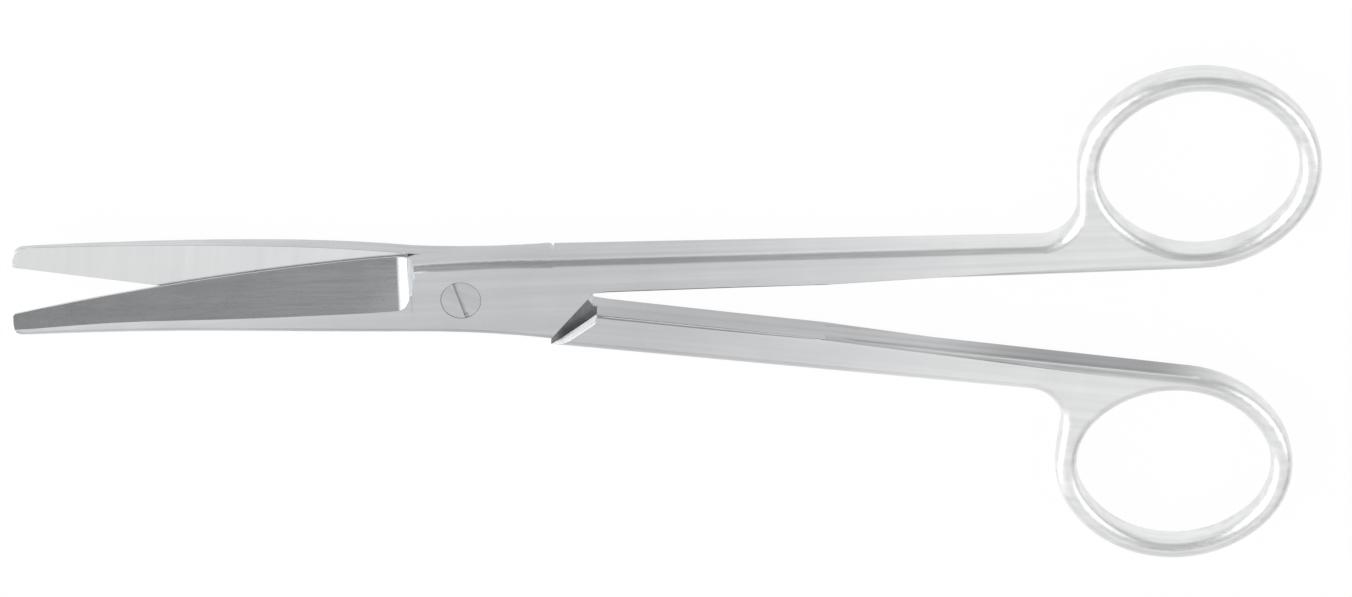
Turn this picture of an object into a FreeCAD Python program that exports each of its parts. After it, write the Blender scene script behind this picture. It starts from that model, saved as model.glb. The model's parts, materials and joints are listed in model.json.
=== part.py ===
import FreeCAD, Part
import math
import os
import re

import Sketcher

# Dissecting scissors with curved blades: two forged halves that lap at a flat box joint and turn on
# one slotted screw. +X points to the blade tips, +Z is the screw axis and points to the screw's head,
# and the origin lies on that axis in the underside of the box.
# Each half is drawn closed, about its own middle plane and closing line, and is then turned open.

# Driving sizes, in millimetres unless the name says otherwise
SIZES = {
    # How far each half stands open at rest, in degrees
    "rest_half_angle": 4.45,
    # Box joint: depth at the screw, and rise of each broad face per millimetre towards the tips
    "box_depth": 5.8,
    "face_slope": 0.009,
    "lap_gap": 0.04,
    # How far one form reaches into the next where they join, or past a face that trims it
    "overlap": 1.0,
    "box_front": 6.8,
    "box_edge_side": 5.45,
    "box_edge_radius": 205.0,
    "box_spine_side": 4.6,
    "box_spine_radius": 138.0,
    "front_flare_reach": 11.3,
    "front_flare_side": 6.35,
    "rear_flare_reach": 10.7,
    "rear_flare_side": 7.15,
    # Shoulder behind the lap
    "shoulder_outer": 12.3,
    "shoulder_inner": 17.9,
    "shoulder_slack": 0.55,
    "shoulder_chamfer": 0.75,
    # Shank: its sides are measured from the closing line of the two halves
    "shank_outer_front": 5.6,
    "shank_outer_back": 5.0,
    "shank_inner": 0.3,
    "web_radius": 5.0,
    # Finger ring
    "ring_reach": 96.3,
    "ring_half_length": 15.75,
    "ring_half_width": 14.15,
    "ring_end_radius": 12.6,
    "ring_band": 2.8,
    "edge_round": 1.32,
    "crisp_length": 30.0,
    "crisp_runout": 48.0,
    "crisp_width": 1.6,
    # Blade
    "flat_radius": 8.0,
    "curve_radius": 270.0,
    "spine_round": 0.7,
    "bevel_land": 0.3,
    "plunge_radius": 2.6,
    "blade_reach": 58.4,
    "tip_spine_round": 1.8,
    "tip_edge_round": 0.5,
    # Screw
    "head_radius": 2.6,
    "head_rim": 0.25,
    "head_depth": 1.35,
    "head_recess": 0.02,
    "neck_radius": 1.6,
    "thread_radius": 1.45,
    "running_gap": 0.04,
    "slot_width": 0.55,
    "slot_depth": 0.6,
    "slot_angle": 110.0,
}

# Blade stations: share of the way from the box front to the blade's end, edge side, spine side
# and bevel ridge from the closing line, and thickness from the shear face to the flat of the back
STATIONS = {
    "root": (-0.016, 5.45, 4.62, 1.2, 2.954),
    "bevel": (0.031, 5.4, 4.56, 1.25, 2.93),
    "heel": (0.178, 4.95, 4.32, 1.55, 2.74),
    "lower": (0.353, 4.28, 3.84, 1.6, 2.48),
    "middle": (0.527, 3.55, 3.26, 1.4, 2.16),
    "upper": (0.702, 2.76, 2.68, 1.0, 1.77),
    "nose": (0.876, 1.88, 2.12, 0.84, 1.38),
    "end": (1.031, 0.95, 1.58, 0.6, 0.96),
}
for station, places in STATIONS.items():
    for part_name, size in zip(("share", "edge", "spine", "ridge", "depth"), places):
        SIZES[station + "_" + part_name] = size

# How far a cutting shape reaches past what it cuts
OVERCUT = 3.0
# How near to a face an edge has to lie to be taken as its edge
NEAR = 0.01

doc = FreeCAD.newDocument("DissectingScissors")
sheet = doc.addObject("Spreadsheet::Sheet", "Sizes")
for row, (alias, size) in enumerate(SIZES.items(), start=1):
    sheet.set("A%d" % row, alias)
    sheet.set("B%d" % row, str(size))
    sheet.setAlias("B%d" % row, alias)
doc.recompute()


def bound(text):
    """Return an expression in which every named size is read from the sheet."""
    def named(word):
        return "Sizes." + word.group() if word.group() in SIZES else word.group()
    return re.sub(r"[a-z]+(?:_[a-z]+)*", named, str(text))


def value(text):
    """Return the number that an expression of named sizes comes to now."""
    found = sheet.evalExpression(bound(text))
    return float(getattr(found, "Value", found))


def signed(sign, text):
    return "(%s)" % text if sign > 0 else "(-(%s))" % text


def plane(body, role):
    return next(item for item in body.Origin.OriginFeatures if item.Role == role)


def new_sketch(body, name, role, offset=None, turn=None):
    """Add a sketch on one of the body's own planes, moved along its normal or turned in it."""
    sketch = body.newObject("Sketcher::SketchObject", name)
    sketch.AttachmentSupport = [(plane(body, role), "")]
    sketch.MapMode = "FlatFace"
    if offset is not None:
        sketch.setExpression("AttachmentOffset.Base.z", bound(offset))
    if turn is not None:
        sketch.AttachmentOffset = FreeCAD.Placement(
            FreeCAD.Vector(), FreeCAD.Rotation(FreeCAD.Vector(0, 0, 1), value(turn)))
        sketch.setExpression("AttachmentOffset.Rotation.Angle", bound(turn) + " * 1 deg")
    return sketch


def arc_between(start, end, radius, turn):
    """Return an arc from start to end; turn is 1 for counter-clockwise and -1 for clockwise.

    A sketch keeps its arcs counter-clockwise, so a clockwise one is made from its end.
    """
    half_chord = (end - start) * 0.5
    drop = math.sqrt(max(radius ** 2 - half_chord.Length ** 2, 0.0))
    across = FreeCAD.Vector(-half_chord.y, half_chord.x, 0).normalize() * turn
    centre = start + half_chord + across * drop
    middle = centre - across * radius
    return Part.Arc(start, middle, end) if turn > 0 else Part.Arc(end, middle, start)


def draw(sketch, corners, arcs=None):
    """Draw a closed outline through the corners, and bind each corner and arc to its sizes.

    arcs maps the number of a corner to the radius and turn of the arc that leaves it.
    """
    arcs = arcs or {}
    points = [FreeCAD.Vector(value(x), value(y), 0) for x, y in corners]
    count = len(points)
    for number, start in enumerate(points):
        end = points[(number + 1) % count]
        if number in arcs:
            radius, turn = arcs[number]
            sketch.addGeometry(arc_between(start, end, value(radius), turn), False)
        else:
            sketch.addGeometry(Part.LineSegment(start, end), False)
    leaves = []
    for number, start in enumerate(points):
        begins_here = (sketch.Geometry[number].StartPoint - start).Length < NEAR / 100
        leaves.append(1 if begins_here else 2)
    for number in range(count):
        after = (number + 1) % count
        sketch.addConstraint(Sketcher.Constraint(
            "Coincident", number, 3 - leaves[number], after, leaves[after]))
    for number, places in enumerate(corners):
        for kind, place in zip(("DistanceX", "DistanceY"), places):
            index = sketch.addConstraint(Sketcher.Constraint(
                kind, -1, 1, number, leaves[number], value(place)))
            sketch.setExpression("Constraints[%d]" % index, bound(place))
    for number, (radius, turn) in arcs.items():
        index = sketch.addConstraint(Sketcher.Constraint("Radius", number, value(radius)))
        sketch.setExpression("Constraints[%d]" % index, bound(radius))
    return sketch


def feature(body, kind, name, sizes=None, **settings):
    """Add a feature to the body; sizes are bound to the sheet and settings are set as they are."""
    item = body.newObject("PartDesign::" + kind, name)
    for prop, setting in settings.items():
        setattr(item, prop, setting)
    for prop, expression in (sizes or {}).items():
        item.setExpression(prop, bound(expression))
    doc.recompute()
    return item


def edges_where(shape, test):
    """Return the names of the edges whose middle point passes the test."""
    names = []
    for number, edge in enumerate(shape.Edges, start=1):
        middle = edge.valueAt((edge.FirstParameter + edge.LastParameter) / 2)
        if test(middle):
            names.append("Edge%d" % number)
    return names


def round_edges(body, kind, name, expression, test):
    """Add a fillet or chamfer on the edges that pass the test."""
    base = body.Tip
    size_name = "Radius" if kind == "Fillet" else "Size"
    return feature(body, kind, name, {size_name: expression},
                   Base=(base, edges_where(base.Shape, test)))


# Places along a half, as expressions. x is positive towards the tips, and a side is positive
# on the cutting-edge and ring side of the closing line.
RING_SIDE = "(shank_inner + ring_half_width)"
END_SHIFT = "(ring_half_length - ring_end_radius)"
RING_FRONT = "(-ring_reach + ring_half_length)"
RING_END = "(ring_reach + ring_half_length)"


def reach_of(station):
    """Distance of a blade station from the screw axis."""
    return "(box_front + (blade_reach - box_front) * %s_share)" % station


def slant_of(station):
    """Fall of the bevel per millimetre towards the cutting edge."""
    return "((%s_depth - bevel_land) / (%s_edge + %s_ridge))" % (station, station, station)


def rise(reach):
    """Height of the shear face above the middle plane, at a distance from the screw axis."""
    return "(curve_radius - sqrt(curve_radius^2 - (%s - flat_radius)^2))" % reach


def oval(inset):
    """Return the four join points and the radii of the ring's oval, pulled in by an inset."""
    end_radius = "(ring_end_radius - %s)" % inset
    half_width = "(ring_half_width - %s)" % inset
    side_radius = "((%s^2 + %s^2 - %s^2) / (2 * (%s - %s)))" % (
        END_SHIFT, half_width, end_radius, half_width, end_radius)
    side_shift = "(%s - %s)" % (side_radius, half_width)
    share = "(%s / (%s - %s))" % (side_radius, side_radius, end_radius)
    across = "(%s * %s)" % (share, END_SHIFT)
    along = "(%s * %s - %s)" % (share, side_shift, side_shift)
    joins = [("-ring_reach + " + across, RING_SIDE + " - " + along),
             ("-ring_reach + " + across, RING_SIDE + " + " + along),
             ("-ring_reach - " + across, RING_SIDE + " + " + along),
             ("-ring_reach - " + across, RING_SIDE + " - " + along)]
    return joins, end_radius, side_radius


def placed(side, corners, arcs):
    """Put an outline on the half's own side of the closing line."""
    moved = [(x, signed(side, y)) for x, y in corners]
    turned = {number: (radius, turn * side) for number, (radius, turn) in arcs.items()}
    return moved, turned


def slope_faces(body, name):
    """Slope both broad faces so that the half thins from the box to the ring."""
    front = "(box_front + overlap)"
    back = "(-(%s + %s))" % (RING_END, OVERCUT)
    for tag, sign in (("top", 1), ("bottom", -1)):
        high = signed(sign, "box_depth / 2 + %s" % OVERCUT)
        corners = [(front, signed(sign, "box_depth / 2 + face_slope * " + front)), (front, high),
                   (back, high), (back, signed(sign, "box_depth / 2 + face_slope * " + back))]
        sketch = draw(new_sketch(body, "%s_%s_line" % (name, tag), "XZ_Plane"), corners)
        feature(body, "Pocket", "%s_%s" % (name, tag), Profile=sketch, Type="ThroughAll",
                SideType="Symmetric")


def box_plate(body, side, up):
    """The lapped plate of the box, from the blade root to the slanted end before the shoulder."""
    flare = "front_flare" if up > 0 else "rear_flare"
    corners = [
        ("box_front", "box_edge_side"),
        ("-shoulder_outer", "shank_outer_front"),
        ("-(shoulder_inner + overlap)", "shank_outer_back"),
        ("-(shoulder_inner + overlap)", "shank_inner"),
        ("-(shoulder_inner - shoulder_slack)", "shank_inner"),
        ("-%s_reach" % flare, "-%s_side" % flare),
        ("box_front", "-box_spine_side"),
    ]
    arcs = {0: ("box_edge_radius", 1), 5: ("box_spine_radius", -1)}
    sketch = draw(new_sketch(body, "box_outline", "XY_Plane"), *placed(side, corners, arcs))
    feature(body, "Pad", "box_plate", {"Length": "box_depth / 2 + %s" % OVERCUT},
            Profile=sketch, Reversed=up < 0)


def handle(body, side):
    """Shank and ring in one outline, full depth, from the shoulder back."""
    joins, end_radius, side_radius = oval("0")
    corners = [
        ("-shoulder_inner", "shank_inner"),
        ("-shoulder_outer", "shank_outer_front"),
        (RING_FRONT + " + web_radius", "shank_outer_back"),
        (RING_FRONT, "shank_outer_back + web_radius"),
        (RING_FRONT, RING_SIDE),
        joins[1], joins[2], joins[3],
        ("-ring_reach", "shank_inner"),
    ]
    arcs = {2: ("web_radius", -1), 4: (end_radius, 1), 5: (side_radius, 1),
            6: (end_radius, 1), 7: (side_radius, 1)}
    sketch = draw(new_sketch(body, "handle_outline", "XY_Plane"), *placed(side, corners, arcs))
    feature(body, "Pad", "handle_blank", {"Length": "box_depth + 2 * overlap"},
            Profile=sketch, SideType="Symmetric")


def ring_hole(body, side):
    joins, end_radius, side_radius = oval("ring_band")
    arcs = {0: (end_radius, 1), 1: (side_radius, 1), 2: (end_radius, 1), 3: (side_radius, 1)}
    sketch = draw(new_sketch(body, "ring_hole_outline", "XY_Plane"), *placed(side, joins, arcs))
    feature(body, "Pocket", "ring_hole", Profile=sketch, Type="ThroughAll", SideType="Symmetric")


def shear_face(body, name, up, sweep):
    """Cut the shear face: flat round the screw, then an arc that rises towards the tips.

    It is turned about the screw axis, so both halves keep their gap at any opening.
    """
    end = "(%s + %s)" % (reach_of("end"), OVERCUT)
    gap = signed(up, "lap_gap / 2")
    far = signed(-up, "box_depth + 2 * %s" % OVERCUT)
    corners = [("0", far), ("0", gap), ("flat_radius", gap),
               (end, "%s + %s" % (rise(end), gap)), (end, far)]
    sketch = draw(new_sketch(body, name + "_line", "XZ_Plane"), corners, {2: ("curve_radius", 1)})
    feature(body, "Groove", name, Profile=sketch, ReferenceAxis=(sketch, ["V_Axis"]),
            Angle=sweep, Midplane=True)


def round_handle(body, side, up):
    """Round the outer edges and the ring, and keep the inner edge of the shank crisp."""
    def on_broad_face(point):
        height = value("box_depth / 2") + value("face_slope") * point.x
        return abs(abs(point.z) - height) < NEAR

    def outer(point):
        behind = point.x < -value("shoulder_inner")
        beside = side * point.y > value("box_edge_side - edge_round / 4")
        return on_broad_face(point) and (behind or beside)

    def spine(point):
        between = -value("rear_flare_reach") < point.x < value("box_front - overlap")
        return on_broad_face(point) and between and side * point.y < -value("box_spine_side / 2")

    round_edges(body, "Fillet", "outer_round", "edge_round", outer)
    round_edges(body, "Fillet", "spine_round", "spine_round", spine)

    crisp_end = "(shoulder_inner + crisp_length)"
    runout = [
        ("-(%s + crisp_runout)" % crisp_end, "shank_inner + crisp_width"),
        ("-" + crisp_end, "shank_inner"),
    ]
    starts = {"inner_edge": "-shoulder_inner", "lap_corner": "-(shoulder_inner - shoulder_slack)"}
    for name, start in starts.items():
        corners = [(start, "shank_inner"), (start, "shank_inner + crisp_width")] + runout
        lapped = name == "lap_corner"
        sketch = new_sketch(body, name + "_outline", "XY_Plane",
                            signed(up, "lap_gap / 2") if lapped else None)
        draw(sketch, *placed(side, corners, {}))
        depth = "box_depth / 2 + overlap" if lapped else "box_depth + 2 * overlap"
        feature(body, "Pad", name, {"Length": depth}, Profile=sketch,
                SideType="One side" if lapped else "Symmetric", Reversed=lapped and up < 0)
    slope_faces(body, "inner_slope")


def shoulder_edge(body, side, up):
    """Chamfer the shoulder where it rises behind the other half's plate."""
    middle_x = -value("(shoulder_outer + shoulder_inner) / 2")
    near_middle = value("(shoulder_inner - shoulder_outer) / 4")

    def on_shoulder(point):
        height = value("box_depth / 2") + value("face_slope") * point.x
        return (abs(point.z + up * height) < NEAR and abs(point.x - middle_x) < near_middle
                and value("overlap") < side * point.y < value("shank_outer_front - overlap"))

    round_edges(body, "Chamfer", "shoulder_chamfer", "shoulder_chamfer", on_shoulder)


def loft(body, kind, name, stations, section):
    """Loft through one outline for each station along the blade."""
    sketches = []
    for station in stations:
        sketch = new_sketch(body, "%s_%s" % (name, station), "YZ_Plane", reach_of(station))
        sketches.append(draw(sketch, *section(station)))
    doc.recompute()
    feature(body, kind, name, Profile=sketches[0], Sections=sketches[1:], Ruled=False)


def blade(body, side, up):
    """Blade blank, then its ground bevel with the hollow where the grinding wheel ran out."""
    def blank(station):
        base = rise(reach_of(station))
        spine = signed(side, "-%s_spine" % station)
        inner_spine = signed(side, "-%s_spine + spine_round" % station)
        edge = signed(side, station + "_edge")
        low = "%s + %s" % (base, signed(up, "-overlap"))
        top = "%s + %s" % (base, signed(up, station + "_depth"))
        side_top = "%s + %s" % (base, signed(up, "%s_depth - spine_round" % station))
        corners = [(spine, low), (spine, side_top), (inner_spine, top), (edge, top), (edge, low)]
        return corners, {1: ("spine_round", 1)}

    def bevel(station):
        base = rise(reach_of(station))
        slant = slant_of(station)
        above = "%s_depth + %s * %s" % (station, slant, OVERCUT)
        below = "bevel_land - %s * %s" % (slant, OVERCUT)
        clear = "%s_depth + 2 * %s" % (station, OVERCUT)
        inner = signed(side, "-%s_ridge - %s" % (station, OVERCUT))
        outer = signed(side, "%s_edge + %s" % (station, OVERCUT))
        corners = [(inner, "%s + %s" % (base, signed(up, above))),
                   (outer, "%s + %s" % (base, signed(up, below))),
                   (outer, "%s + %s" % (base, signed(up, clear))),
                   (inner, "%s + %s" % (base, signed(up, clear)))]
        return corners, {}

    stations = list(STATIONS)
    loft(body, "AdditiveLoft", "blade_blank", stations, blank)
    shear_face(body, "blade_shear_face", up, 130)
    loft(body, "SubtractiveLoft", "bevel", stations[1:], bevel)
    plunge(body, up)
    tip(body, side)


def plunge(body, up):
    """Cut the round hollow at the bevel's root with a cylinder that lies along the bevel."""
    tilt = "atan%s" % slant_of("bevel")
    sketch = new_sketch(body, "plunge_outline", "XZ_Plane")
    sketch.AttachmentOffset = FreeCAD.Placement(
        FreeCAD.Vector(), FreeCAD.Rotation(FreeCAD.Vector(1, 0, 0), value(tilt)))
    sketch.setExpression("AttachmentOffset.Rotation.Angle", bound(tilt))
    ridge_height = "(%s + bevel_depth)" % signed(up, rise(reach_of("bevel")))
    height = signed(up, "%s * cos(%s) - bevel_ridge * sin(%s) + plunge_radius" % (
        ridge_height, tilt, tilt))
    centre = FreeCAD.Vector(value(reach_of("bevel")), value(height), 0)
    sketch.addGeometry(Part.Circle(centre, FreeCAD.Vector(0, 0, 1), value("plunge_radius")), False)
    for kind, place in (("DistanceX", reach_of("bevel")), ("DistanceY", height)):
        index = sketch.addConstraint(Sketcher.Constraint(kind, -1, 1, 0, 3, value(place)))
        sketch.setExpression("Constraints[%d]" % index, bound(place))
    index = sketch.addConstraint(Sketcher.Constraint("Radius", 0, value("plunge_radius")))
    sketch.setExpression("Constraints[%d]" % index, bound("plunge_radius"))
    feature(body, "Pocket", "plunge", Profile=sketch, Type="ThroughAll", SideType="Symmetric")


def tip(body, side):
    """Round the blunt tip in plan."""
    def side_at(tag, reach):
        share = "((%s - %s) / (%s - %s))" % (
            reach, reach_of("nose"), reach_of("end"), reach_of("nose"))
        return "(nose_%s + (end_%s - nose_%s) * %s)" % (tag, tag, tag, share)

    spine_start = "(blade_reach - tip_spine_round)"
    edge_start = "(blade_reach - tip_edge_round)"
    spine = side_at("spine", spine_start)
    edge = side_at("edge", edge_start)
    beyond = "%s + %s" % (reach_of("end"), OVERCUT)
    corners = [
        (edge_start, edge),
        (edge_start, "%s + %s" % (edge, OVERCUT)),
        (beyond, "%s + %s" % (edge, OVERCUT)),
        (beyond, "-(%s + %s)" % (spine, OVERCUT)),
        (spine_start, "-(%s + %s)" % (spine, OVERCUT)),
        (spine_start, "-" + spine),
        ("blade_reach", "-%s + tip_spine_round" % spine),
        ("blade_reach", "%s - tip_edge_round" % edge),
    ]
    arcs = {5: ("tip_spine_round", 1), 7: ("tip_edge_round", 1)}
    sketch = draw(new_sketch(body, "tip_outline", "XY_Plane"), *placed(side, corners, arcs))
    feature(body, "Pocket", "tip_round", Profile=sketch, Type="ThroughAll", SideType="Symmetric")


def screw_bore(body, up):
    """Bore for the screw: countersunk with a running gap in the front half, tight in the rear."""
    top = "box_depth / 2 - head_recess"
    if up > 0:
        corners = [("0", "-overlap"), ("neck_radius + running_gap", "-overlap"),
                   ("neck_radius + running_gap", top + " - head_depth"),
                   ("head_radius + running_gap", top + " - head_rim"),
                   ("head_radius + running_gap", top + " + overlap"), ("0", top + " + overlap")]
    else:
        corners = [("0", "overlap"), ("thread_radius", "overlap"),
                   ("thread_radius", "-box_depth"), ("0", "-box_depth")]
    sketch = draw(new_sketch(body, "screw_bore_line", "XZ_Plane"), corners)
    feature(body, "Groove", "screw_bore", Profile=sketch, ReferenceAxis=(sketch, ["V_Axis"]),
            Angle=360)


def scissor_half(label, side, up):
    """Make one half. side is where its ring lies, and up is 1 for the plate that is on top."""
    body = doc.addObject("PartDesign::Body", label)
    body.Label = label
    box_plate(body, side, up)
    shear_face(body, "box_shear_face", up, 360)
    handle(body, side)
    slope_faces(body, "slope")
    shoulder_edge(body, side, up)
    ring_hole(body, side)
    round_handle(body, side, up)
    blade(body, side, up)
    screw_bore(body, up)
    turn = signed(-side, "rest_half_angle")
    body.Placement = FreeCAD.Placement(
        FreeCAD.Vector(0, 0, value("box_depth / 2")),
        FreeCAD.Rotation(FreeCAD.Vector(0, 0, 1), value(turn)))
    body.setExpression("Placement.Base.z", bound("box_depth / 2"))
    body.setExpression("Placement.Rotation.Angle", bound(turn) + " * 1 deg")
    doc.recompute()
    return body


def screw(label):
    """Slotted countersunk screw whose plain end stands for the fine thread in the rear half."""
    body = doc.addObject("PartDesign::Body", label)
    body.Label = label
    top = "box_depth / 2 - head_recess"
    corners = [
        ("0", top), ("head_radius", top), ("head_radius", top + " - head_rim"),
        ("neck_radius", top + " - head_depth"), ("neck_radius", "-lap_gap / 2"),
        ("thread_radius", "-lap_gap / 2"), ("thread_radius", "-box_depth / 2"),
        ("0", "-box_depth / 2"),
    ]
    sketch = draw(new_sketch(body, "screw_line", "XZ_Plane"), corners)
    feature(body, "Revolution", "turned", Profile=sketch, ReferenceAxis=(sketch, ["V_Axis"]), Angle=360)
    reach = "(head_radius + overlap)"
    slot = [(reach, "-slot_width / 2"), (reach, "slot_width / 2"),
            ("-" + reach, "slot_width / 2"), ("-" + reach, "-slot_width / 2")]
    sketch = draw(new_sketch(body, "slot_outline", "XY_Plane", top, "slot_angle"), slot)
    feature(body, "Pocket", "slot", {"Length": "slot_depth"}, Profile=sketch)
    body.Placement = FreeCAD.Placement(
        FreeCAD.Vector(0, 0, value("box_depth / 2")), FreeCAD.Rotation())
    body.setExpression("Placement.Base.z", bound("box_depth / 2"))
    doc.recompute()
    return body


bodies = [
    scissor_half("front_half", side=-1, up=1),
    scissor_half("rear_half", side=1, up=-1),
    screw("pivot_screw"),
]

for item in doc.Objects:
    if "Invalid" in item.State or "Error" in item.State:
        raise RuntimeError("%s could not be built: %s" % (item.Name, item.State))
for body in bodies:
    if body.Shape.isNull() or not body.Shape.isValid():
        raise RuntimeError("%s has no sound shape" % body.Label)
    if len(body.Shape.Solids) != 1:
        raise RuntimeError("%s is in %d pieces" % (body.Label, len(body.Shape.Solids)))

os.makedirs("parts", exist_ok=True)
for body in bodies:
    body.Shape.exportStep("parts/%s.step" % body.Label)
    print("%s: %.1f mm3" % (body.Label, body.Shape.Volume))
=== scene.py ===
import json
import math

import bmesh
import bpy
import numpy as np
from mathutils import Matrix, Vector


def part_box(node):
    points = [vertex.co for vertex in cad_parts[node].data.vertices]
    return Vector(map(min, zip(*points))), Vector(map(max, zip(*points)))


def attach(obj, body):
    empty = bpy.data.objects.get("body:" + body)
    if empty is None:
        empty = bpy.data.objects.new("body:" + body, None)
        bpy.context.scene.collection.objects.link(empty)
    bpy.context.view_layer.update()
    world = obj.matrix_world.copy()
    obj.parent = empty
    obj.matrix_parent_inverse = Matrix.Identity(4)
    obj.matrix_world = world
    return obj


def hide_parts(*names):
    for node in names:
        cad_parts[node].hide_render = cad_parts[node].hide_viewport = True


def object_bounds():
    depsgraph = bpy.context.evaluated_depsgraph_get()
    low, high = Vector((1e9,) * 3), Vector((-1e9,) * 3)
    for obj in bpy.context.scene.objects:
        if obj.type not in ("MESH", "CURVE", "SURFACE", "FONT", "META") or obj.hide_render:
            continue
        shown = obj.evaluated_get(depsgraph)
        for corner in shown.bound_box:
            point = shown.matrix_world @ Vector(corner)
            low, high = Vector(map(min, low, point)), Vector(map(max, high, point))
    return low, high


bl_info = {
    "name": "Dissecting Scissors",
    "version": (1, 0, 0),
    "blender": (4, 5, 0),
    "location": "3D View > Sidebar > Scissors",
    "description": "Steel finish, turned pivot screw and studio for a pair of dissecting scissors",
    "category": "Object",
}

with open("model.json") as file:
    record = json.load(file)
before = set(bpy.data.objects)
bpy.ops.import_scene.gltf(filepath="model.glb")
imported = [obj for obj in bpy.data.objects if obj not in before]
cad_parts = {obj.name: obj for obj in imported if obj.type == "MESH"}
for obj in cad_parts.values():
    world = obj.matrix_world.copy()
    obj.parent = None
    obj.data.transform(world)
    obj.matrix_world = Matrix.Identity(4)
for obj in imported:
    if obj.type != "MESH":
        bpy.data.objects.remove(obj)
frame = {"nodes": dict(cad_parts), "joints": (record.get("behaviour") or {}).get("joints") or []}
CAD_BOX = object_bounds()
MM = 0.001

# Each half: the side along Y that its cutting edge and ring lie on, whether its lapped plate is
# the upper one, and the seed of its marks
HALVES = {
    "front": {"node": "front_half", "side": -1, "up": 1, "seed": 0.0},
    "rear": {"node": "rear_half", "side": 1, "up": -1, "seed": 7.0},
}
# Height at which the lapped plates of the box meet
MID_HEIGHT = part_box("pivot_screw")[1].z / 2 + 0.01 * MM
# Places along a half from the screw, tips ahead: where the blade starts, where the shank's straight
# edges start, and where the painted shade on its inner side ends
BLADE_START = 6.9 * MM
SHANK_START = -18.5 * MM
INNER_SIDE_END = -106 * MM
# Edges nearer than this to the screw axis belong to the screw's bores
BORE_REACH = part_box("pivot_screw")[1].x + 0.1 * MM

# How the steel of each zone is finished, in the order of the material slots on a half; the lap
# and inner side zones are painted shade, not finishes
FINISHES = ("satin_steel", "bevel_steel", "shear_face_steel", "lap_shade_steel", "inner_side_shade_steel",
            "rubbed_edge_steel")
SATIN, BEVEL, SHEAR_FACE, LAP_SHADE, INNER_SIDE, RUBBED_EDGE = range(len(FINISHES))

# Points of the CAD mesh nearer than this are one point
WELD_DISTANCE = 0.0015 * MM
# Faces that turn by less than this are joined into one
FLAT_ANGLE = math.radians(0.1)
# An edge break takes up at most this share of the shortest edge beside it
ROOM_SHARE = 0.4

# What tells the zones of a half apart: how far a ground bevel leans, in degrees, how squarely it
# looks up and how little along the half, how squarely the shear and lapped faces look to the other
# half, how near to mid height the lapped face lies, how squarely a shank's inner side looks
# inwards, and how near to the half's middle line it lies
BEVEL_LEAN = (12, 28)
BEVEL_UP = 0.5
BEVEL_TWIST = 0.35
MATING_DOWN = 0.9
LAP_REACH = 0.1 * MM
INNER_SIDE_IN = 0.75
INNER_SIDE_REACH = 1.7 * MM


# Sizes and colours that a user would change

class SteelFinish(bpy.types.PropertyGroup):
    """Finish of the two forged halves."""
    edge_break: bpy.props.FloatProperty(
        name="Edge Break", description="Width of the light break along each crisp edge",
        default=0.3 * MM, min=0.0, unit="LENGTH", precision=5)
    crisp_angle: bpy.props.FloatProperty(
        name="Crisp Angle", description="Edges that turn by more than this get the light break",
        default=math.radians(27), subtype="ANGLE")
    crease_angle_deg: bpy.props.FloatProperty(
        name="Crease Angle",
        description="Degrees between two surfaces that make their edge a crease",
        default=5.0, min=0.0, max=90.0)
    fine_share: bpy.props.FloatProperty(
        name="Fine Share", description="Share of the edge break that the blades and the box get",
        default=0.2, min=0.0, max=1.0)
    bore_share: bpy.props.FloatProperty(
        name="Bore Share", description="Share of the edge break that the screw's bores get",
        default=0.04, min=0.0, max=1.0)
    break_full: bpy.props.FloatProperty(
        name="Break Full", description="Place along a shank up to which its edge break is whole",
        default=-34 * MM, unit="LENGTH")
    break_end: bpy.props.FloatProperty(
        name="Break End", description="Place along a shank where its edge break has run out",
        default=-60 * MM, unit="LENGTH")
    break_piece: bpy.props.FloatProperty(
        name="Break Piece", description="Longest piece of an edge that has one width of break",
        default=2 * MM, min=0.1 * MM, unit="LENGTH")
    thinnest_strip: bpy.props.FloatProperty(
        name="Thinnest Strip", description="Strips narrower than this keep their edges unbroken",
        default=0.03 * MM, min=0.0, unit="LENGTH", precision=5)
    face_color: bpy.props.FloatVectorProperty(
        name="Face Color", description="Colour of the satin broad faces",
        default=(0.595, 0.605, 0.618), size=3, min=0, max=1, subtype="COLOR")
    shear_color: bpy.props.FloatVectorProperty(
        name="Shear Face Color", description="Colour of the finely ground inner faces",
        default=(0.77, 0.78, 0.785), size=3, min=0, max=1, subtype="COLOR")
    bevel_color: bpy.props.FloatVectorProperty(
        name="Bevel Color", description="Colour of the ground bevels",
        default=(0.51, 0.52, 0.53), size=3, min=0, max=1, subtype="COLOR")
    # Painted shade: this dark colour stands in for the shadow that falls in the gap of the box joint
    lap_shade_color: bpy.props.FloatVectorProperty(
        name="Lap Color", description="Colour of the faces that rub on each other in the box joint",
        default=(0.30, 0.305, 0.31), size=3, min=0, max=1, subtype="COLOR")
    # Painted shade: the shanks' inner sides face each other across a narrow gap, and this darker
    # colour stands in for the shade and dark reflection there
    inner_shade_color: bpy.props.FloatVectorProperty(
        name="Inner Side Color",
        description="Colour of the shanks' inner sides where they are dullest",
        default=(0.40, 0.405, 0.415), size=3, min=0, max=1, subtype="COLOR")
    # Painted sheen: this colour, brighter than the faces' steel, stands in for the rings' brighter
    # reflections; their finer finish is the lower roughness
    bow_sheen_color: bpy.props.FloatVectorProperty(
        name="Bow Color", description="Colour of the brighter finger rings",
        default=(0.88, 0.885, 0.89), size=3, min=0, max=1, subtype="COLOR")
    grind_spacing: bpy.props.FloatProperty(
        name="Grind Spacing", description="Width of one mark of the belt that ground the faces",
        default=0.16 * MM, unit="LENGTH", precision=5)
    grind_length: bpy.props.FloatProperty(
        name="Grind Length", description="Length of one grinding mark",
        default=14 * MM, unit="LENGTH")


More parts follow.
